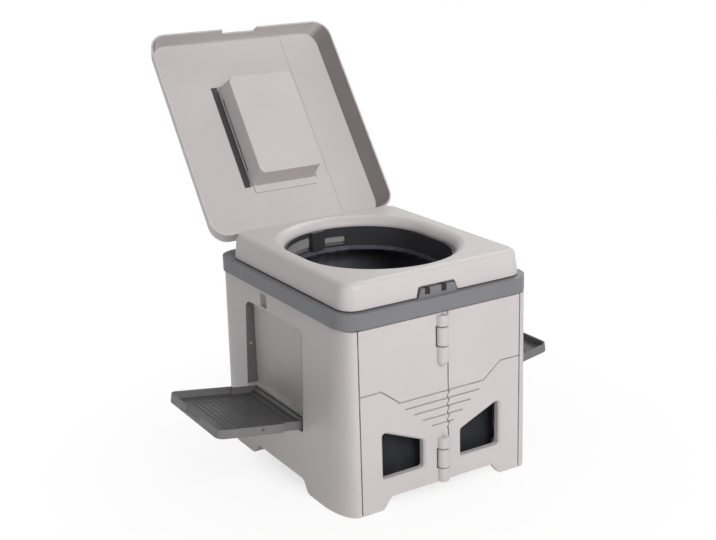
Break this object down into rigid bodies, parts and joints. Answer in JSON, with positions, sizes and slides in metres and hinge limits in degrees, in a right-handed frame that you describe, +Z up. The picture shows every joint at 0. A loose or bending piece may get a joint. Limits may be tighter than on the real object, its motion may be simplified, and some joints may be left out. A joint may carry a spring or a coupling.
{
  "type": "folding travel toilet",
  "caption": "Box-shaped portable toilet with a bagged seat hole, hinged lid and side trays; its walls fold inwards once the top is lifted off.",
  "frame": {"origin": "on the floor, under the middle of the body", "axes": "+X to the right seen from the front, +Y to the rear, where the lid leans, +Z up"},
  "size_m": [0.619, 0.6452, 0.6484],
  "materials": {
    "cream": "fine moulded grain, satin",
    "seat_cream": "smooth satin",
    "rim_grey": "fine moulded grain",
    "tray_grey": "moulded grain, satin",
    "black": "satin",
    "film": "creased polyethylene film",
    "steel": "drawn rod"
  },
  "bodies": {
    "left_shell": {"side_shell_left": "cream", "corner_rod_front_left": "steel", "corner_rod_rear_left": "steel", "tray_rod_left": "steel", "tray_guides_left": "tray_grey", "tray_detents_left": "steel"},
    "front_left": {"front_panel_left": "cream", "front_hinge_pin_upper": "steel", "front_hinge_pin_lower": "steel"},
    "front_right": {"front_panel_right": "cream"},
    "right_shell": {"side_shell_right": "cream", "corner_rod_front_right": "steel", "corner_rod_rear_right": "steel", "tray_rod_right": "steel", "tray_guides_right": "tray_grey", "tray_detents_right": "steel"},
    "rear_left": {"rear_panel_left": "cream"},
    "rear_right": {"rear_panel_right": "cream", "rear_hinge_pin_upper": "steel", "rear_hinge_pin_lower": "steel"},
    "left_tray": {"tray_left": "tray_grey"},
    "right_tray": {"tray_right": "tray_grey"},
    "top": {"rim": "rim_grey", "tab_pads": "black", "seat": "seat_cream", "bag_ring": "black", "bag_clip": "black", "waste_bag": "film", "lid_pin_left": "steel", "lid_pin_right": "steel"},
    "lid": {"lid_shell": "cream", "lid_liner": "cream", "tissue_box": "cream", "tissue_slot_pad": "black"}
  },
  "joints": [
    {"name": "body_fold", "type": "hinge", "parent": "left_shell", "child": "front_left", "pos_m": [-0.1375, -0.193, 0.15], "axis": [0, 0, 1], "range_deg": [0, 90], "deforming": ["waste_bag"]},
    {"name": "front_centre_hinge", "type": "hinge", "parent": "front_left", "child": "front_right", "pos_m": [0, -0.2001, 0.15], "axis": [0, 0, 1], "range_deg": [-180, 0]},
    {"name": "right_shell_hinge", "type": "hinge", "parent": "front_right", "child": "right_shell", "pos_m": [0.1375, -0.193, 0.15], "axis": [0, 0, 1], "range_deg": [0, 90]},
    {"name": "rear_left_hinge", "type": "hinge", "parent": "left_shell", "child": "rear_left", "pos_m": [-0.1375, 0.193, 0.15], "axis": [0, 0, 1], "range_deg": [-90, 0]},
    {"name": "rear_centre_hinge", "type": "hinge", "parent": "rear_left", "child": "rear_right", "pos_m": [0, 0.2001, 0.15], "axis": [0, 0, 1], "range_deg": [0, 180]},
    {"name": "left_tray_hinge", "type": "hinge", "parent": "left_shell", "child": "left_tray", "pos_m": [-0.16, 0.015, 0.105], "axis": [0, 1, 0], "range_deg": [0, 81]},
    {"name": "right_tray_hinge", "type": "hinge", "parent": "right_shell", "child": "right_tray", "pos_m": [0.16, 0.015, 0.105], "axis": [0, -1, 0], "range_deg": [0, 81]},
    {"name": "top_lift", "type": "slide", "parent": "left_shell", "child": "top", "axis": [0, 0, 1], "range_m": [0, 0.3]},
    {"name": "lid_hinge", "type": "hinge", "parent": "top", "child": "lid", "pos_m": [0, 0.1875, 0.3294], "axis": [1, 0, 0], "range_deg": [0, 126]}
  ],
  "couplings": [
    {"joint": "front_centre_hinge", "follows": "body_fold", "ratio": -2},
    {"joint": "right_shell_hinge", "follows": "body_fold", "ratio": 1},
    {"joint": "rear_left_hinge", "follows": "body_fold", "ratio": -1},
    {"joint": "rear_centre_hinge", "follows": "body_fold", "ratio": 2}
  ]
}
